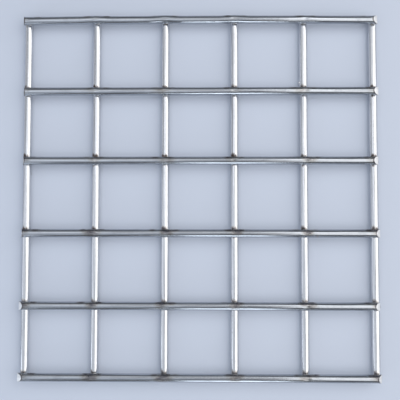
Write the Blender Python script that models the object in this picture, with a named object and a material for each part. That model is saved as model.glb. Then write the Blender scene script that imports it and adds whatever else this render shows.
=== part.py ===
"""Flat sheet of welded wire mesh: round cross wires laid over round line wires, fused at every crossing."""
import math

import bmesh
import bpy
from mathutils import Matrix, Vector

SHEET = "welded_mesh"

# Driving sizes in metres
WIRE = 0.003                 # diameter of the line wires and the cross wires
LINE_PITCH = 0.0254          # from one line wire to the next, along X
CROSS_PITCH = 0.0259         # from one cross wire to the next, along Y
LINE_WIRES = 6
CROSS_WIRES = 6
SET_DOWN = 0.00035           # how far the weld has pressed a cross wire into a line wire
LINE_OVERHANG = 0.0013       # line wires' cut ends, past the centre of the outer cross wires
FLASH_RADIUS = 0.00155       # metal squeezed out round each weld, from the weld's middle
FLASH_THICK = 0.0011         # the same at its thickest, between the two wires
CUT_LAND = 0.0002            # blunt edge that the cutter leaves at the tip of each wire
LINE_SLANT = 45              # degrees from the wire's length to the cut face on a line wire's free side
WELD_SLANT = 74              # the same on the side of the weld, which the other wire keeps steep

# Welding leaves the sheet a little uneven. Values run from the far cross wire, +Y, to the near one.
CROSS_DRIFT = (0.0001, -0.0002, 0.0003, -0.0001, -0.00025, 0.0002)    # off the even pitch, along Y
FAR_WIRE_BOW = (0.0, 0.00035, 0.00045, 0.0004, 0.0002, 0.0)           # at each weld of the far wire
LEFT_OVERHANG = (0.0011, 0.0008, 0.0009, 0.0010, 0.0016, 0.0018)      # past the outer line wire's centre
RIGHT_OVERHANG = (0.00125, 0.0013, 0.00095, 0.0013, 0.0009, 0.00125)
LEFT_SLANT = (78, 70, 62, 66, 42, 38)                                 # cut faces of the cross wires, degrees
RIGHT_SLANT = (40, 38, 38, 42, 40, 46)

# Facets: a wire's sides count twice the resolution and four more, and one facet lies flat above and below
WIRE_RESOLUTION = 4
WIRE_SIDES = 2 * WIRE_RESOLUTION + 4
FLASH_SIDES = 12
FLASH_RINGS = 6
MERGE = 0.00001

FACET_RADIUS = WIRE / 2 / math.cos(math.pi / WIRE_SIDES)
LINE_HEIGHT = WIRE / 2
CROSS_HEIGHT = WIRE * 1.5 - SET_DOWN
WELD_HEIGHT = WIRE - SET_DOWN / 2


def clear_scene():
    for old in list(bpy.data.objects):
        bpy.data.objects.remove(old, do_unlink=True)


def new_collection(name):
    collection = bpy.data.collections.new(name)
    bpy.context.scene.collection.children.link(collection)
    return collection


def bright_steel():
    material = bpy.data.materials.new("bright_drawn_steel")
    material.use_nodes = True
    shader = material.node_tree.nodes["Principled BSDF"]
    shader.inputs["Base Color"].default_value = (0.62, 0.63, 0.66, 1.0)
    shader.inputs["Metallic"].default_value = 1.0
    shader.inputs["Roughness"].default_value = 0.32
    return material


def in_turn(values, index):
    """A value for each wire in turn, from the first again if there are more wires than values."""
    return values[index % len(values)]


def line_x(index):
    return (index - (LINE_WIRES - 1) / 2) * LINE_PITCH


def cross_y(index):
    return ((CROSS_WIRES - 1) / 2 - index) * CROSS_PITCH + in_turn(CROSS_DRIFT, index)


def bow(cross, line):
    """How far a cross wire is bent outwards at its weld to a line wire."""
    if cross != 0 or line >= len(FAR_WIRE_BOW):
        return 0.0
    return FAR_WIRE_BOW[line]


def weld_point(line, cross):
    return Vector((line_x(line), cross_y(cross) + bow(cross, line), WELD_HEIGHT))


def line_wire_path(line):
    far = weld_point(line, 0)
    near = weld_point(line, CROSS_WIRES - 1)
    past = Vector((0, LINE_OVERHANG, 0))
    return [Vector((p.x, p.y, LINE_HEIGHT)) for p in (far + past, near - past)]


def cross_wire_path(cross):
    left = Vector((in_turn(LEFT_OVERHANG, cross), 0, 0))
    right = Vector((in_turn(RIGHT_OVERHANG, cross), 0, 0))
    welds = [weld_point(line, cross) for line in range(LINE_WIRES)]
    bent = welds[1:-1] if any(bow(cross, line) for line in range(LINE_WIRES)) else []
    path = [welds[0] - left, *bent, welds[-1] + right]
    return [Vector((p.x, p.y, CROSS_HEIGHT)) for p in path]


def round_wire(name, path):
    """A wire along a path, as a closed mesh, with a flat facet at its top and its bottom."""
    curve = bpy.data.curves.new(name, "CURVE")
    curve.dimensions = "3D"
    curve.twist_mode = "Z_UP"
    curve.bevel_depth = FACET_RADIUS
    curve.bevel_resolution = WIRE_RESOLUTION
    curve.use_fill_caps = True
    spline = curve.splines.new("POLY")
    spline.points.add(len(path) - 1)
    for point, place in zip(spline.points, path):
        point.co = (*place, 1.0)
        point.tilt = math.pi / WIRE_SIDES
    guide = bpy.data.objects.new(name, curve)
    bpy.context.scene.collection.objects.link(guide)
    bpy.context.view_layer.update()
    drawn = guide.evaluated_get(bpy.context.evaluated_depsgraph_get())
    wire = bpy.data.meshes.new_from_object(drawn)
    bpy.data.objects.remove(guide, do_unlink=True)
    bpy.data.curves.remove(curve)
    shape = bmesh.new()
    shape.from_mesh(wire)
    bpy.data.meshes.remove(wire)
    bmesh.ops.remove_doubles(shape, verts=shape.verts, dist=MERGE)
    return shape


def slice_off(shape, place, outward):
    """Cut away what lies beyond a plane and close the wire again with one flat face."""
    everything = shape.verts[:] + shape.edges[:] + shape.faces[:]
    bmesh.ops.bisect_plane(shape, geom=everything, plane_co=place, plane_no=outward, clear_outer=True)
    rim = [edge for edge in shape.edges if edge.is_boundary]
    bmesh.ops.contextual_create(shape, geom=rim)


def trim_end(shape, tip, before, free_side, slant):
    """Pinch a wire's end off between two cutter faces: free_side points up or down, away from the weld."""
    outward = (tip - before).normalized()
    edge = tip + outward * CUT_LAND / 2
    slice_off(shape, tip, outward)
    for side, degrees in ((free_side, slant), (-free_side, WELD_SLANT)):
        angle = math.radians(degrees)
        slice_off(shape, edge, outward * math.sin(angle) + side * math.cos(angle))


def cut_wire(name, path, free_side, first_slant, last_slant):
    """A round wire whose two ends are trimmed back to the path's ends."""
    first = (path[0] - path[1]).normalized() * CUT_LAND
    last = (path[-1] - path[-2]).normalized() * CUT_LAND
    shape = round_wire(name, [path[0] + first, *path[1:-1], path[-1] + last])
    trim_end(shape, path[0], path[1], free_side, first_slant)
    trim_end(shape, path[-1], path[-2], free_side, last_slant)
    return shape


def line_wire(index):
    down = Vector((0, 0, -1))
    return cut_wire("line_wire", line_wire_path(index), down, LINE_SLANT, LINE_SLANT)


def cross_wire(index):
    up = Vector((0, 0, 1))
    slants = in_turn(LEFT_SLANT, index), in_turn(RIGHT_SLANT, index)
    return cut_wire("cross_wire", cross_wire_path(index), up, *slants)


def joined_object(name, shapes, collection):
    """One object from shapes that don't touch each other."""
    mesh = bpy.data.meshes.new(name)
    whole = bmesh.new()
    for shape in shapes:
        shape.to_mesh(mesh)
        whole.from_mesh(mesh)
        shape.free()
    bmesh.ops.recalc_face_normals(whole, faces=whole.faces)
    whole.to_mesh(mesh)
    whole.free()
    item = bpy.data.objects.new(name, mesh)
    collection.objects.link(item)
    return item


def weld_flash(place):
    """Metal squeezed out between two wires: a flat lens round the weld."""
    shape = bmesh.new()
    bmesh.ops.create_uvsphere(shape, u_segments=FLASH_SIDES, v_segments=FLASH_RINGS, radius=FLASH_RADIUS)
    squash = Matrix.Diagonal((1.0, 1.0, FLASH_THICK / 2 / FLASH_RADIUS, 1.0))
    shape.transform(Matrix.Translation(place) @ squash)
    return shape


def fuse(item, other):
    """Boolean union of two objects; the other one stays behind as a guide."""
    union = item.modifiers.new("fuse_" + other.name, "BOOLEAN")
    union.operation = "UNION"
    union.solver = "EXACT"
    union.object = other
    other.hide_render = True
    other.display_type = "WIRE"


def apply_modifiers(item):
    bpy.context.view_layer.update()
    drawn = item.evaluated_get(bpy.context.evaluated_depsgraph_get())
    mesh = bpy.data.meshes.new_from_object(drawn)
    item.modifiers.clear()
    item.data = mesh
    mesh.name = item.name


def build_sheet():
    parts = new_collection("welded_wire_mesh")
    guides = new_collection("guides")
    lines = [line_wire(index) for index in range(LINE_WIRES)]
    crosses = [cross_wire(index) for index in range(CROSS_WIRES)]
    welds = [weld_flash(weld_point(i, j)) for i in range(LINE_WIRES) for j in range(CROSS_WIRES)]
    sheet = joined_object(SHEET, lines, parts)
    fuse(sheet, joined_object("cross_wires", crosses, guides))
    fuse(sheet, joined_object("weld_flash", welds, guides))
    apply_modifiers(sheet)
    sheet.data.materials.clear()
    sheet.data.materials.append(bright_steel())
    sheet.data.shade_smooth()
    sheet.data.set_sharp_from_angle(angle=math.radians(35))


clear_scene()
build_sheet()
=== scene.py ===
"""Looks for the flat sheet of welded wire mesh: drawn wires, weld metal, cut ends, floor, light, camera."""

import math
import random

import bmesh
import bpy
from mathutils import Matrix, Vector, noise


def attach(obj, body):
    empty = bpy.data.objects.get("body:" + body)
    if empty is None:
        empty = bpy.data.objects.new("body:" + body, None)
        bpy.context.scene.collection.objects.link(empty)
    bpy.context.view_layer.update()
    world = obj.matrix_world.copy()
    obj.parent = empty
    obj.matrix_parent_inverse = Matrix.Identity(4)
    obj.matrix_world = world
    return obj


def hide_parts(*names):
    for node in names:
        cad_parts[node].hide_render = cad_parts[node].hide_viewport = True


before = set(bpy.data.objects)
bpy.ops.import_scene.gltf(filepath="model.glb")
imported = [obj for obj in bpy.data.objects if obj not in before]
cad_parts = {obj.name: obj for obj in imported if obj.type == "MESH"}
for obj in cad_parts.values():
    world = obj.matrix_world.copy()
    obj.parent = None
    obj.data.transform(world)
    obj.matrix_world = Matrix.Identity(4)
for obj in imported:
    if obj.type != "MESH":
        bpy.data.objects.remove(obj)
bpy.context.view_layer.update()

# The sheet's sizes in metres, as in the part's source
WIRE = 0.003
RADIUS = WIRE / 2
LINE_PITCH = 0.0254
CROSS_PITCH = 0.0259
WIRES = 6                    # line wires, and as many cross wires
SET_DOWN = 0.00035
LINE_OVERHANG = 0.0013
CUT_LAND = 0.0002
LINE_SLANT = 45
WELD_SLANT = 74
LINE_HEIGHT = RADIUS
CROSS_HEIGHT = WIRE * 1.5 - SET_DOWN
WELD_HEIGHT = WIRE - SET_DOWN / 2
WELD_DEPTH = RADIUS - SET_DOWN / 2      # from a wire's middle to the weld on its side

# Values run from the far cross wire, +Y, to the near one
CROSS_DRIFT = (0.0001, -0.0002, 0.0003, -0.0001, -0.00025, 0.0002)
FAR_WIRE_BOW = (0.0, 0.00035, 0.00045, 0.0004, 0.0002, 0.0)   # but these at each of its welds, from the left
LEFT_OVERHANG = (0.0011, 0.0008, 0.0009, 0.0010, 0.0016, 0.0018)
RIGHT_OVERHANG = (0.00125, 0.0013, 0.00095, 0.0013, 0.0009, 0.00125)
LEFT_SLANT = (78, 70, 62, 66, 42, 38)
RIGHT_SLANT = (40, 38, 38, 42, 40, 46)
TOP_HEAT = (0.12, 0.32, 0.45, 0.58, 0.60, 0.56)   # how dark the welds have tinted a cross wire's top
RIM_HEAT = (0.70, 0.45, 0.50, 0.58, 0.55, 0.50)   # and its far rim
SIDE_HEAT_AND_SHADE = (0.60, 1.35, 1.55, 0.95, 0.55, 0.50)  # and the line wires beside it: oxide, and also painted shade of the crevice and a painted reflection of the cross wire's dark side

# What welding did to a wire's shape, and how straight it runs
FLAT_REACH = 0.0019          # half the length of the flat that a welding tip pressed on the free side
FLAT_DEPTH = 0.00009
SINK_REACH = 0.007           # the wire dips towards each weld from this far off
SINK_DEPTH = 0.00004
SPREAD = 0.01                # how much wider it is at a weld, as a share
WANDER = 0.00004             # how far it strays sideways
WANDER_PACE = 28             # and how often, per metre
KINK = 0.5                   # the share of the far wire's bend that is a kink close to each weld
KINK_REACH = 0.006
HEAT_RUN = 0.55              # how fast heat fades along a wire, as a share of how fast round it

# Squeezed-out metal at a weld, in half widths. Beads are (sideways, out past the weld, length).
FLASH_THICK = 0.00056
BEAD_THICK = 0.00016
BEAD_RISE = 0.00017          # above the weld's middle
FAR_BEADS = ((-0.0007, 0.0012, 0.0007), (-0.0003, 0.0013, 0.00045))
FAR_BEAD_WIRES = (1, 2, 3)   # the cross wires, from 0, that have them
NEAR_BEAD_OUT = -0.0012
NEAR_BEAD_LENGTH = 0.0004
NEAR_BEADS = ((0, 2), (0, 5), (3, 1))   # the welds that have one, as cross wire and line wire, from 0

# Spatter
DROPS = 44
DROPS_ON_CROSS_WIRES = 30    # the first of them
DROP_SINK = 0.00004          # how deep a drop's middle lies in the wire
DROP_HEAT = 0.25
BRIGHT_HEAT = 0.05           # too little to dull the metal

# Bigger, bright drops on one line wire's left side, past one cross wire: how far past, angle up, radius
BIG_DROPS_LINE = 4           # from 0
BIG_DROPS_CROSS = 1
BIG_DROPS = ((0.0036, 0.25, 0.00042), (0.0026, 0.5, 0.00024), (0.0046, 0.05, 0.00018))

# Where each piece's random draws start
CROSS_SEED = 40
LINE_SEED = 60
FLASH_SEED = 5
SPATTER_SEED = 11

# How far apart the wires take their patterns and their wandering, so that no two are alike
PATTERN_STEP = 0.2
LINE_PATTERN = 1.5
CROSS_WANDER_STEP = 3.7
LINE_WANDER = 31
LINE_WANDER_STEP = 2.9

# How finely the pieces are drawn
SIDES = 36
RING_STEP = 0.0005
CUT_ROUNDING = 0.00003
CLOSE = 0.00007              # corners of a cut face that are nearer than this to each other become one
SHARP_ANGLE = 38

CUT_SKIN = 1                 # the wires' second material, for the cut faces
CUT_FACE_AREA = 1e-7         # faces in it that are larger are the cuts, and smaller ones their rounded rims
CUT_RIM = 0.0003             # how far in from a cut the wire's skin is painted dark, as an outline round each cut face
CUT_RIM_HEAT = 0.7           # as dark as this much heat would leave it

# Finishes, as red, green, blue and 1
BRIGHT_GREYS = ((0.60, 0.61, 0.64, 1), (0.76, 0.765, 0.78, 1))
# The cross wires' steel: its blue tint is partly a painted reflection of a blue floor.
DULL_GREYS_AND_BLUE_REFLECTION = ((0.36, 0.38, 0.415, 1), (0.485, 0.51, 0.55, 1))
SHEARED_GREYS = ((0.74, 0.74, 0.75, 1), (0.92, 0.92, 0.92, 1))
WELD_GREYS = ((0.46, 0.42, 0.38, 1), (0.70, 0.69, 0.68, 1))
FRESH_METAL = (0.92, 0.92, 0.93, 1)
RUST = (0.24, 0.11, 0.05, 1)
FLOOR_GREYS = ((0.58, 0.63, 0.73, 1), (0.61, 0.66, 0.76, 1))
BACKDROP = (0.96, 0.97, 0.99, 1)
FLOOR_RADIUS = 6.0

# Soft panels aimed at the sheet: name, tilt from straight above, side that it stands on (0 for +X and
# 90 for +Y), distance, width and height, level, colour
LAMPS = (
    ("window_right", 45, 1, 0.50, (0.78, 0.70), 1.50, (1.0, 0.99, 0.98)),
    ("window_left", 45, 207, 0.46, (0.50, 0.77), 0.55, (0.84, 0.90, 1.0)),
    ("low_left", 77, 221, 0.36, (0.31, 0.15), 1.15, (0.84, 0.92, 1.0)),
    ("low_far_left", 70, 165, 0.36, (0.36, 0.22), 0.38, (0.86, 0.91, 1.0)),
    ("ceiling_far", 28, 105, 0.24, (0.25, 0.17), 0.69, (0.96, 0.97, 1.0)),
    ("ceiling", 1, 0, 0.37, (0.06, 0.15), 0.81, (1.0, 0.99, 0.98)),
    ("ceiling_left", 21, 183, 0.43, (0.15, 0.12), 0.30, (0.92, 0.95, 1.0)),
    ("low_near", 74, 273, 0.57, (0.12, 0.30), 3.0, (0.86, 0.93, 1.0)),
)
ROOM_COLOUR = (0.88, 0.93, 1.0, 1.0)
ROOM_LEVEL = 0.24

# The photograph's view: nearly straight down, from a little towards the near edge
LENS = 54
SENSOR = 36
CAMERA_PLACE = (0.00338, -0.01146, 0.22069)
CAMERA_TURN = ((2.759, "X"), (0.862, "Y"), (0.030, "Z"))


def smooth(value):
    """From 0 to 1 with a soft start and end."""
    value = min(max(value, 0.0), 1.0)
    return value * value * (3 - 2 * value)


def hump(distance, reach):
    """1 at no distance, falling softly to 0 at the reach."""
    share = min(abs(distance) / reach, 1.0)
    return (1 - share * share) ** 2


def line_x(index):
    return (index - (WIRES - 1) / 2) * LINE_PITCH


def cross_y(index):
    return ((WIRES - 1) / 2 - index) * CROSS_PITCH + CROSS_DRIFT[index]


def bow(cross, x):
    """How far a cross wire bends outwards at a place along it; only the far one does, most at its welds."""
    if cross != 0:
        return 0.0
    place = min(max((x - line_x(0)) / LINE_PITCH, 0.0), WIRES - 1.001)
    left = int(place)
    share = smooth(place - left)
    arch = FAR_WIRE_BOW[left] * (1 - share) + FAR_WIRE_BOW[left + 1] * share
    weld = round(place)
    kink = FAR_WIRE_BOW[weld] * hump(x - line_x(weld), KINK_REACH)
    return (1 - KINK) * arch + KINK * kink


def weld_point(line, cross):
    x = line_x(line)
    return Vector((x, cross_y(cross) + bow(cross, x), WELD_HEIGHT))


# Wire shapes. Each wire is made along +X on the axis, with its free side up, and then put in place.

def straight_wire(start, end):
    """A round rod from start to end along X, with closed ends and a ring of vertices at every step."""
    shape = bmesh.new()
    turn = Matrix.Translation((start, 0, 0)) @ Matrix.Rotation(math.radians(90), 4, "Y")
    bmesh.ops.create_circle(shape, segments=SIDES, radius=RADIUS, matrix=turn)
    ring = shape.edges[:]
    steps = math.ceil((end - start) / RING_STEP)
    stride = Vector(((end - start) / steps, 0, 0))
    bmesh.ops.spin(shape, geom=ring, axis=(1, 0, 0), cent=(0, 0, 0), dvec=stride, angle=0, steps=steps)
    bmesh.ops.holes_fill(shape, edges=shape.edges[:], sides=0)
    bmesh.ops.recalc_face_normals(shape, faces=shape.faces[:])
    return shape


def slice_off(shape, place, outward):
    """Cut away what lies beyond a plane and close the wire again with one flat cut face."""
    everything = shape.verts[:] + shape.edges[:] + shape.faces[:]
    bmesh.ops.bisect_plane(shape, geom=everything, plane_co=place, plane_no=outward, clear_outer=True)
    rim = [edge for edge in shape.edges if edge.is_boundary]
    for face in bmesh.ops.contextual_create(shape, geom=rim)["faces"]:
        face.material_index = CUT_SKIN


def pinch_off(shape, tip, outward, slant):
    """Trim a wire's end as a cutter does: steep on the weld's side, slanted on the free side."""
    edge = tip + outward * CUT_LAND / 2
    up = Vector((0, 0, 1))
    slice_off(shape, tip, outward)
    for side, degrees in ((up, slant), (-up, WELD_SLANT)):
        angle = math.radians(degrees)
        slice_off(shape, edge, outward * math.sin(angle) + side * math.cos(angle))


def on_cut(item):
    """Whether a vertex or an edge belongs to a cut face."""
    return any(face.material_index == CUT_SKIN for face in item.link_faces)


def round_cut_edges(shape):
    """Clean up the cut faces' rims and take the sharpness off them."""
    rim = [vert for vert in shape.verts if on_cut(vert)]
    bmesh.ops.remove_doubles(shape, verts=rim, dist=CLOSE)
    edges = [edge for edge in shape.edges if on_cut(edge)]
    bmesh.ops.bevel(shape, geom=edges, offset=CUT_ROUNDING, offset_type="OFFSET", affect="EDGES",
                    segments=2, profile=0.5, material=-1, clamp_overlap=False)


def cut_wire(start, end, first_slant, last_slant):
    shape = straight_wire(start - CUT_LAND, end + CUT_LAND)
    pinch_off(shape, Vector((start, 0, 0)), Vector((-1, 0, 0)), first_slant)
    pinch_off(shape, Vector((end, 0, 0)), Vector((1, 0, 0)), last_slant)
    round_cut_edges(shape)
    return shape


# What welding did to the surface. Hot spots are (place, reach, strength), in the wire's own straight frame.

def cross_wire_heat(welds, top_heat, rim_heat, seed):
    """A dark ring close to each weld, a dull stretch on top, a darker far side, and spots along the rim."""
    chance = random.Random(seed)
    spots = []
    for x in welds:
        top = Vector((x + chance.uniform(-0.0015, 0.0015), RADIUS * 0.3, RADIUS * 0.9))
        spots.append((top, chance.uniform(0.0018, 0.0030), top_heat * chance.uniform(0.4, 0.8)))
        far_side = Vector((x + chance.uniform(-0.001, 0.001), RADIUS * 0.75, RADIUS * 0.65))
        spots.append((far_side, chance.uniform(0.0013, 0.0020), top_heat * chance.uniform(0.5, 1.0)))
        spots.append((Vector((x, 0, -WELD_DEPTH)), chance.uniform(0.0018, 0.0022), 0.9))
        for side in (-1, 1):
            away = side * chance.uniform(0.0018, 0.0045)
            angle = chance.uniform(0.3, 0.8)
            rim = Vector((x + away, RADIUS * math.cos(angle), RADIUS * math.sin(angle)))
            spots.append((rim, chance.uniform(0.0009, 0.0014), rim_heat * chance.uniform(0.5, 1.1)))
    return spots


def line_wire_heat(welds, seed):
    """A close dark ring at each weld, reaching out on the far side, most at the left, and a little near. The
    far stain is partly oxide and partly painted shade and reflection, strongest at the left; the near one is
    partly a painted shadow of the cross wire.
    """
    chance = random.Random(seed)
    spots = []
    for x, strength in zip(welds, SIDE_HEAT_AND_SHADE):
        ring = 0.4 + 0.35 * strength
        spots.append((Vector((x, 0, -WELD_DEPTH)), chance.uniform(0.0008, 0.0010), ring))
        # Oxide, and painted shade of the crevice beside the cross wire with a painted reflection of its dark
        # side, set at the left where they show.
        left = Vector((x + 0.0012, chance.uniform(-0.0009, -0.0006), -RADIUS * 0.85))
        spots.append((left, chance.uniform(0.0010, 0.0013), strength * chance.uniform(0.8, 1.2)))
        right = Vector((x + 0.0012, chance.uniform(0.0001, 0.0005), -RADIUS * 0.97))
        spots.append((right, chance.uniform(0.0007, 0.0011), strength * chance.uniform(0.5, 1.1)))
        # Partly a painted shadow that the cross wire casts on the near side.
        near = Vector((x - 0.0012, -0.0006, -RADIUS * 0.9))
        spots.append((near, chance.uniform(0.0005, 0.0008), strength * chance.uniform(0.0, 0.6)))
    return spots


def heat_at(point, spots):
    """The strongest of the hot spots at a point on the wire."""
    hottest = 0.0
    for place, reach, strength in spots:
        away = point - place
        away.x *= HEAT_RUN
        if abs(away.x) < reach:
            hottest = max(hottest, hump(away.length, reach) * strength)
    return hottest


def cut_planes(shape):
    """The middle of each cut face and the way it faces."""
    faces = [face for face in shape.faces if face.material_index == CUT_SKIN]
    large = [face for face in faces if face.calc_area() > CUT_FACE_AREA]
    return [(face.calc_center_median(), face.normal.copy()) for face in large]


def mark_surface(shape, spots, offset):
    """Keep each point's place on its wire, for the draw marks, and how dark it is painted: by heat, by
    painted shade beside the cross wires, and as a dark outline round each cut.
    """
    place_layer = shape.verts.layers.float_vector.new("wire_place")
    heat_layer = shape.verts.layers.float.new("weld_heat_and_shade")
    cuts = cut_planes(shape)
    for vert in shape.verts:
        vert[place_layer] = vert.co + Vector((offset, 0, 0))
        cut_outline = max(hump((vert.co - middle).dot(normal), CUT_RIM) for middle, normal in cuts)
        vert[heat_layer] = max(heat_at(vert.co, spots), cut_outline * CUT_RIM_HEAT)


def work_surface(shape, welds, sideways, wander):
    """Flats from the welding tips, a slight spread at each weld, and a little unevenness along the wire."""
    for vert in shape.verts:
        x = vert.co.x
        away = min(abs(x - weld) for weld in welds)
        press = hump(away, FLAT_REACH)
        vert.co.z = min(vert.co.z, RADIUS - FLAT_DEPTH * press) - SINK_DEPTH * hump(away, SINK_REACH)
        vert.co.y *= 1 + SPREAD * press
        vert.co.y += sideways(x) + WANDER * noise.noise(Vector((x * WANDER_PACE, wander, 0)))


def finish_piece(name, shape, place, materials):
    """Make a shape an object of the sheet, in its place and with its materials."""
    shape.transform(place)
    bmesh.ops.recalc_face_normals(shape, faces=shape.faces[:])
    mesh = bpy.data.meshes.new(name)
    shape.to_mesh(mesh)
    shape.free()
    for material in materials:
        mesh.materials.append(material)
    mesh.shade_smooth()
    mesh.set_sharp_from_angle(angle=math.radians(SHARP_ANGLE))
    piece = bpy.data.objects.new(name, mesh)
    bpy.context.scene.collection.objects.link(piece)
    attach(piece, "root")
    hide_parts("welded_mesh")


def cross_wire(index, materials):
    """A wire along X, on top, with its welds underneath."""
    shape = cut_wire(line_x(0) - LEFT_OVERHANG[index], line_x(WIRES - 1) + RIGHT_OVERHANG[index],
                     LEFT_SLANT[index], RIGHT_SLANT[index])
    welds = [line_x(line) for line in range(WIRES)]
    spots = cross_wire_heat(welds, TOP_HEAT[index], RIM_HEAT[index], CROSS_SEED + index)
    mark_surface(shape, spots, index * PATTERN_STEP)
    work_surface(shape, welds, lambda x: bow(index, x), index * CROSS_WANDER_STEP)
    place = Matrix.Translation((0, cross_y(index), CROSS_HEIGHT))
    finish_piece(f"cross_wire_{index + 1}", shape, place, materials)


def line_wire(index, materials):
    """A wire along Y, on the floor, with its welds on top: the straight wire turned over and round."""
    x = line_x(index)
    far = cross_y(0) + bow(0, x) + LINE_OVERHANG
    near = cross_y(WIRES - 1) - LINE_OVERHANG
    shape = cut_wire(near, far, LINE_SLANT, LINE_SLANT)
    welds = [cross_y(cross) + bow(cross, x) for cross in range(WIRES)]
    mark_surface(shape, line_wire_heat(welds, LINE_SEED + index), LINE_PATTERN + index * PATTERN_STEP)
    work_surface(shape, welds, lambda along: 0.0, LINE_WANDER + index * LINE_WANDER_STEP)
    over = Matrix.Rotation(math.radians(180), 4, "X")
    round_to_y = Matrix.Rotation(math.radians(90), 4, "Z")
    place = Matrix.Translation((x, 0, LINE_HEIGHT)) @ round_to_y @ over
    finish_piece(f"line_wire_{index + 1}", shape, place, materials)


def lump(shape, place, size, heat, seed, unevenness, detail):
    """A small uneven ball of metal. Size is its half width along X, Y and Z."""
    heat_layer = shape.verts.layers.float["weld_heat_and_shade"]
    for vert in bmesh.ops.create_icosphere(shape, subdivisions=detail, radius=1.0)["verts"]:
        swell = 1 + unevenness * noise.noise(vert.co * 1.6 + Vector((seed, 0, 0)))
        vert.co = place + Vector(a * b for a, b in zip(vert.co * swell, size))
        vert[heat_layer] = heat


def bead(shape, line, place, size, heat, seed):
    """A flat bead of squeezed-out metal that lies on a line wire and bends down over its side."""
    shape.verts.ensure_lookup_table()
    before = len(shape.verts)
    lump(shape, place, size, heat, seed, unevenness=0.3, detail=4)
    shape.verts.ensure_lookup_table()
    for vert in shape.verts[before:]:
        across = min(abs(vert.co.x - line_x(line)), RADIUS * 0.9)
        vert.co.z -= RADIUS - math.sqrt(RADIUS ** 2 - across ** 2)


def weld_flash(materials):
    """Metal squeezed out between the wires at every crossing, with rough beads on the side it ran to."""
    chance = random.Random(FLASH_SEED)
    shape = bmesh.new()
    shape.verts.layers.float.new("weld_heat_and_shade")
    for cross in range(WIRES):
        for line in range(WIRES):
            weld = weld_point(line, cross)
            heat = chance.uniform(0.45, 0.8)
            ring = (chance.uniform(0.00134, 0.00144), chance.uniform(0.00133, 0.0014), FLASH_THICK)
            lump(shape, weld, ring, heat, chance.uniform(0, 90), unevenness=0.1, detail=4)
            beads = []
            if cross in FAR_BEAD_WIRES:
                beads += FAR_BEADS
            if (cross, line) in NEAR_BEADS:
                beads.append((chance.uniform(-0.0007, 0.0007), NEAR_BEAD_OUT, NEAR_BEAD_LENGTH))
            for sideways, out, length in beads:
                place = weld + Vector((sideways + chance.uniform(-0.0001, 0.0001), out, BEAD_RISE))
                size = (chance.uniform(0.0004, 0.0006), length * chance.uniform(0.8, 1.1), BEAD_THICK)
                bead(shape, line, place, size, heat, chance.uniform(0, 90))
    finish_piece("weld_flash", shape, Matrix.Identity(4), materials)


def spatter_beside(shape, place, across, angle, radius, heat):
    """One drop on a wire's skin: angle is up from level, on the side that the vector across points to."""
    out = across * math.cos(angle) + Vector((0, 0, math.sin(angle)))
    middle = place + out * (RADIUS - DROP_SINK)
    lump(shape, middle, (radius, radius, radius * 0.8), heat, place.x, unevenness=0.3, detail=2)


def weld_spatter(materials):
    """Tiny drops that flew from the welds and stuck to the wires, none outside the sheet."""
    chance = random.Random(SPATTER_SEED)
    shape = bmesh.new()
    shape.verts.layers.float.new("weld_heat_and_shade")
    for index in range(DROPS):
        cross = chance.randrange(WIRES)
        line = chance.randrange(WIRES)
        radius = chance.uniform(0.00006, 0.00016)
        angle = math.radians(chance.uniform(-20, 60))
        away = chance.choice((-1, 1)) * chance.uniform(0.002, 0.006)
        side = chance.choice((-1, 1))
        if index < DROPS_ON_CROSS_WIRES:
            x = min(max(line_x(line) + away, line_x(0)), line_x(WIRES - 1))
            place = Vector((x, cross_y(cross) + bow(cross, x), CROSS_HEIGHT))
            across = Vector((0, {0: -1, WIRES - 1: 1}.get(cross, side), 0))
        else:
            y = min(max(cross_y(cross) + away, cross_y(WIRES - 1)), cross_y(0))
            place = Vector((line_x(line), y, LINE_HEIGHT))
            across = Vector(({0: 1, WIRES - 1: -1}.get(line, side), 0, 0))
        spatter_beside(shape, place, across, angle, radius, DROP_HEAT)
    for along, angle, radius in BIG_DROPS:
        place = Vector((line_x(BIG_DROPS_LINE), cross_y(BIG_DROPS_CROSS) + along, LINE_HEIGHT))
        spatter_beside(shape, place, Vector((-1, 0, 0)), angle, radius, BRIGHT_HEAT)
    finish_piece("weld_spatter", shape, Matrix.Identity(4), materials)


# Materials. Most of the small functions below add one node and give back its output, to plug in further on.

def add_node(tree, kind, **settings):
    made = tree.nodes.new(kind)
    for name, value in settings.items():
        setattr(made, name, value)
    return made


def fill(tree, socket, source):
    """Link an output to an input, or set the input to a number, colour or vector."""
    if isinstance(source, bpy.types.NodeSocket):
        tree.links.new(source, socket)
    else:
        socket.default_value = source


def plug(tree, node, **sources):
    """Fill a node's inputs, named with _ for a space, and give the node back."""
    for name, source in sources.items():
        fill(tree, node.inputs[name.replace("_", " ")], source)
    return node


def calculate(tree, operation, first, second=0.0):
    made = add_node(tree, "ShaderNodeMath", operation=operation)
    fill(tree, made.inputs[0], first)
    fill(tree, made.inputs[1], second)
    return made.outputs[0]


def stretched(tree, place, scale, turn=(0, 0, 0)):
    made = plug(tree, add_node(tree, "ShaderNodeMapping"), Vector=place, Scale=scale, Rotation=turn)
    return made.outputs["Vector"]


def grain(tree, place, scale, detail=3.0, roughness=0.5):
    made = add_node(tree, "ShaderNodeTexNoise")
    plug(tree, made, Vector=place, Scale=scale, Detail=detail, Roughness=roughness)
    return made.outputs["Fac"]


def between(tree, value, low, high, new_low=0.0, new_high=1.0):
    made = add_node(tree, "ShaderNodeMapRange", interpolation_type="SMOOTHSTEP")
    plug(tree, made, Value=value)
    for socket, number in zip(made.inputs[1:5], (low, high, new_low, new_high)):
        socket.default_value = number
    return made.outputs["Result"]


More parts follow.
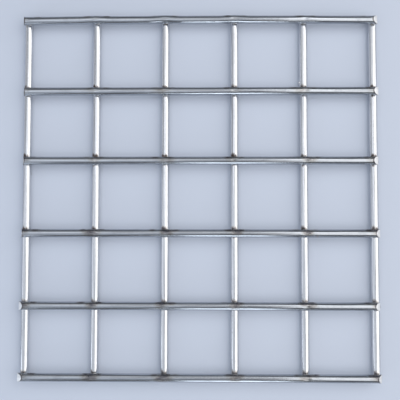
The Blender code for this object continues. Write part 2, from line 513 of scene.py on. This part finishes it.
def mixed(tree, share, first, second, blend="MIX"):
    """Two colours mixed. The node has more sockets of the same names, so these go by number."""
    made = add_node(tree, "ShaderNodeMix", data_type="RGBA", blend_type=blend)
    for socket, source in ((0, share), (6, first), (7, second)):
        fill(tree, made.inputs[socket], source)
    return made.outputs[2]


def colour_steps(tree, value, steps):
    made = add_node(tree, "ShaderNodeValToRGB")
    ramp = made.color_ramp
    while len(ramp.elements) < len(steps):
        ramp.elements.new(0.5)
    for element, (position, colour) in zip(ramp.elements, steps):
        element.position = position
        element.color = (*colour, 1.0)
    plug(tree, made, Fac=value)
    return made.outputs["Color"]


def new_group(name, inputs, outputs):
    """A shader node group with named sockets; gives back the group, its inputs and its output node."""
    group = bpy.data.node_groups.new(name, "ShaderNodeTree")
    for socket, kind in inputs:
        group.interface.new_socket(socket, in_out="INPUT", socket_type=kind)
    for socket, kind in outputs:
        group.interface.new_socket(socket, in_out="OUTPUT", socket_type=kind)
    entry = group.nodes.new("NodeGroupInput")
    leave = group.nodes.new("NodeGroupOutput")
    return group, entry.outputs, leave


def use_group(tree, group, **sources):
    made = add_node(tree, "ShaderNodeGroup", node_tree=group)
    return plug(tree, made, **sources).outputs


def draw_marks_group():
    """The long marks that the drawing die leaves: streaks for the colour and a height for the bump."""
    group, given, leave = new_group(
        "draw_marks", [("Place", "NodeSocketVector")],
        [("Streaks", "NodeSocketFloat"), ("Height", "NodeSocketFloat")])
    broad = grain(group, stretched(group, given["Place"], (60, 2600, 2600)), 1.0, 3.0, 0.6)
    fine = grain(group, stretched(group, given["Place"], (110, 11000, 11000)), 1.0, 2.0, 0.6)
    plug(group, leave, Streaks=broad, Height=calculate(group, "ADD", broad, fine))
    return group


def weld_heat_group():
    """Temper colours and scale round a weld: the bare metal through straw, brown and blue to dark grey. The
    same steps also darken the painted shade beside the cross wires on the line wires, and the dark outline
    round each cut.
    """
    group, given, leave = new_group(
        "weld_heat_and_shade",
        [("Heat", "NodeSocketFloat"), ("Place", "NodeSocketVector"), ("Bare", "NodeSocketColor")],
        [("Colour", "NodeSocketColor"), ("Scale", "NodeSocketFloat"), ("Crust", "NodeSocketFloat")])
    patches = grain(group, stretched(group, given["Place"], (550, 2300, 2300)), 1.0, 5.0, 0.65)
    uneven = calculate(group, "SUBTRACT", calculate(group, "MULTIPLY", patches, 2.6), 0.3)
    heat = calculate(group, "MULTIPLY", given["Heat"], uneven)
    tint = colour_steps(group, heat, (
        (0.04, (1.0, 1.0, 1.0)), (0.14, (0.91, 0.89, 0.85)), (0.25, (0.73, 0.68, 0.63)),
        (0.36, (0.50, 0.45, 0.43)), (0.47, (0.33, 0.32, 0.34)), (0.60, (0.23, 0.215, 0.20)),
        (0.80, (0.13, 0.11, 0.095)), (1.0, (0.14, 0.10, 0.075))))
    scale = between(group, heat, 0.2, 0.6)
    crust = calculate(group, "MULTIPLY", scale, grain(group, given["Place"], 5200.0, 4.0, 0.65))
    plug(group, leave, Colour=mixed(group, 1.0, given["Bare"], tint, "MULTIPLY"), Scale=scale, Crust=crust)
    return group


def handling_group():
    """Fine scratches and faint smudges from stacking and handling."""
    group, given, leave = new_group(
        "handling", [("Place", "NodeSocketVector")],
        [("Scratches", "NodeSocketFloat"), ("Smudges", "NodeSocketFloat")])
    slanted = stretched(group, given["Place"], (150, 3200, 3200), (0.0, 0.12, -0.1))
    band = calculate(group, "ABSOLUTE", calculate(group, "SUBTRACT", grain(group, slanted, 1.0, 0.0), 0.5))
    lines = between(group, band, 0.0, 0.012, 1.0, 0.0)
    sparse = between(group, grain(group, given["Place"], 420.0, 2.0), 0.54, 0.66)
    plug(group, leave, Scratches=calculate(group, "MULTIPLY", lines, sparse),
         Smudges=grain(group, given["Place"], 150.0, 4.0, 0.6))
    return group


def new_material(name):
    material = bpy.data.materials.new(name)
    material.use_nodes = True
    tree = material.node_tree
    return material, tree, tree.nodes["Principled BSDF"]


def attribute(tree, name, output):
    return add_node(tree, "ShaderNodeAttribute", attribute_name=name).outputs[output]


def bumped(tree, height, distance):
    made = plug(tree, add_node(tree, "ShaderNodeBump"), Height=height, Distance=distance, Strength=1.0)
    return made.outputs["Normal"]


def drawn_steel(name, dark, bright, draw_marks, weld_heat_and_shade, handling):
    """The wires' long sides: drawn steel between two greys, with heat tints round the welds, and on the line
    wires painted shade beside the cross wires.
    """
    material, tree, shader = new_material(name)
    place = attribute(tree, "wire_place", "Vector")
    marks = use_group(tree, draw_marks, Place=place)
    wear = use_group(tree, handling, Place=place)
    bare = mixed(tree, between(tree, marks["Streaks"], 0.3, 0.7), dark, bright)
    bare = mixed(tree, between(tree, wear["Smudges"], 0.45, 0.75, 0.0, 0.7), bare, dark)
    heat = attribute(tree, "weld_heat_and_shade", "Fac")
    welded = use_group(tree, weld_heat_and_shade, Heat=heat, Place=place, Bare=bare)
    gloss = between(tree, marks["Streaks"], 0.3, 0.7, 0.12, 0.21)
    gloss = calculate(tree, "ADD", gloss, between(tree, wear["Smudges"], 0.45, 0.8, 0.0, 0.08))
    gloss = calculate(tree, "ADD", gloss, calculate(tree, "MULTIPLY", wear["Scratches"], 0.08))
    gloss = calculate(tree, "ADD", gloss, calculate(tree, "MULTIPLY", welded["Scale"], 0.24))
    nicks = calculate(tree, "MULTIPLY", wear["Scratches"], 0.4)
    height = calculate(tree, "SUBTRACT", marks["Height"], nicks)
    height = calculate(tree, "ADD", height, calculate(tree, "MULTIPLY", welded["Crust"], 2.5))
    plug(tree, shader, Base_Color=welded["Colour"], Metallic=1.0, Roughness=gloss,
         Normal=bumped(tree, height, 0.000004))
    return material


def sheared_steel(handling):
    """The cut ends: fresh bright metal with the cutter's marks across it."""
    material, tree, shader = new_material("sheared_steel")
    place = attribute(tree, "wire_place", "Vector")
    wear = use_group(tree, handling, Place=place)
    drag = grain(tree, stretched(tree, place, (350, 6500, 350)), 1.0, 3.0, 0.6)
    torn = grain(tree, place, 3800.0, 4.0, 0.65)
    marked = calculate(tree, "ADD", calculate(tree, "MULTIPLY", drag, 1.5), torn)
    colour = mixed(tree, between(tree, marked, 0.9, 1.6), *SHEARED_GREYS)
    gloss = between(tree, wear["Smudges"], 0.3, 0.7, 0.48, 0.60)
    normal = bumped(tree, marked, 0.000012)
    plug(tree, shader, Base_Color=colour, Metallic=1.0, Roughness=gloss, Normal=normal)
    return material


def weld_metal(weld_heat_and_shade):
    """Squeezed-out metal and spatter: lumpy, scaled over where it was hot, and bright elsewhere."""
    material, tree, shader = new_material("weld_metal")
    place = add_node(tree, "ShaderNodeTexCoord").outputs["Object"]
    bare = mixed(tree, grain(tree, place, 1500.0), *WELD_GREYS)
    heat = attribute(tree, "weld_heat_and_shade", "Fac")
    welded = use_group(tree, weld_heat_and_shade, Heat=heat, Place=place, Bare=bare)
    lumps = grain(tree, place, 2400.0, 4.0, 0.6)
    rusty = between(tree, grain(tree, place, 900.0, 3.0), 0.55, 0.68, 0.0, 0.7)
    colour = mixed(tree, rusty, welded["Colour"], RUST)
    fresh = between(tree, heat, 0.08, 0.2, 1.0, 0.0)
    colour = mixed(tree, fresh, colour, FRESH_METAL)
    gloss = calculate(tree, "ADD", between(tree, lumps, 0.3, 0.7, 0.34, 0.5),
                      calculate(tree, "MULTIPLY", welded["Scale"], 0.15))
    gloss = calculate(tree, "SUBTRACT", gloss, calculate(tree, "MULTIPLY", fresh, 0.15))
    height = calculate(tree, "ADD", lumps, welded["Crust"])
    normal = bumped(tree, height, 0.00003)
    plug(tree, shader, Base_Color=colour, Metallic=0.9, Roughness=gloss, Normal=normal)
    return material


def floor_finish():
    """Pale blue-grey, and paler still far out from the sheet."""
    material, tree, shader = new_material("pale_floor")
    place = add_node(tree, "ShaderNodeTexCoord").outputs["Object"]
    colour = mixed(tree, grain(tree, place, 6.0, 3.0), *FLOOR_GREYS)
    out = plug(tree, add_node(tree, "ShaderNodeVectorMath", operation="LENGTH"), Vector=place)
    far_out = between(tree, out.outputs["Value"], 0.3, 1.6)
    colour = mixed(tree, far_out, colour, BACKDROP)
    plug(tree, shader, Base_Color=colour, Roughness=0.75)
    shader.inputs["Specular IOR Level"].default_value = 0.2
    return material


# The stage

def build_floor():
    shape = bmesh.new()
    bmesh.ops.create_circle(shape, cap_ends=True, segments=96, radius=FLOOR_RADIUS)
    mesh = bpy.data.meshes.new("floor")
    shape.to_mesh(mesh)
    shape.free()
    mesh.materials.append(floor_finish())
    floor = bpy.data.objects.new("floor", mesh)
    bpy.context.scene.collection.objects.link(floor)


def soft_light(name, tilt, towards, distance, size, level, colour):
    """A soft panel aimed at the sheet's middle, as listed in LAMPS."""
    width, height = size
    lean = math.radians(tilt)
    turn = math.radians(towards)
    out = Vector((math.sin(lean) * math.cos(turn), math.sin(lean) * math.sin(turn), math.cos(lean)))
    lamp = bpy.data.lights.new(name, "AREA")
    lamp.shape = "RECTANGLE"
    lamp.size = width
    lamp.size_y = height
    lamp.energy = level * math.pi * width * height
    lamp.color = colour
    panel = bpy.data.objects.new(name, lamp)
    panel.location = out * distance
    panel.rotation_euler = (-out).to_track_quat("-Z", "Y").to_euler()
    panel.visible_camera = False
    bpy.context.scene.collection.objects.link(panel)


def build_light():
    for lamp in LAMPS:
        soft_light(*lamp)
    world = bpy.data.worlds.new("studio")
    world.use_nodes = True
    backdrop = world.node_tree.nodes["Background"]
    backdrop.inputs["Color"].default_value = ROOM_COLOUR
    backdrop.inputs["Strength"].default_value = ROOM_LEVEL
    bpy.context.scene.world = world


def build_camera():
    lens = bpy.data.cameras.new("camera")
    lens.sensor_width = SENSOR
    lens.lens = LENS
    lens.clip_start = 0.01
    camera = bpy.data.objects.new("camera", lens)
    camera.location = CAMERA_PLACE
    turn = Matrix.Identity(3)
    for degrees, axis in CAMERA_TURN:
        turn = turn @ Matrix.Rotation(math.radians(degrees), 3, axis)
    camera.rotation_euler = turn.to_euler()
    bpy.context.scene.collection.objects.link(camera)
    bpy.context.scene.camera = camera


def build_sheet():
    weld_heat_and_shade = weld_heat_group()
    handling = handling_group()
    groups = draw_marks_group(), weld_heat_and_shade, handling
    bright = drawn_steel("bright_steel", *BRIGHT_GREYS, *groups)
    # The cross wires' copy of the steel, its blue tint partly a painted reflection.
    dull = drawn_steel("dull_steel_and_blue_reflection", *DULL_GREYS_AND_BLUE_REFLECTION, *groups)
    cut = sheared_steel(handling)
    weld_materials = [weld_metal(weld_heat_and_shade)]
    for index in range(WIRES):
        line_wire(index, [bright, cut])
        cross_wire(index, [dull, cut])
    weld_flash(weld_materials)
    weld_spatter(weld_materials)


bpy.context.scene.view_settings.view_transform = "Standard"
build_camera()
build_light()
build_floor()
build_sheet()
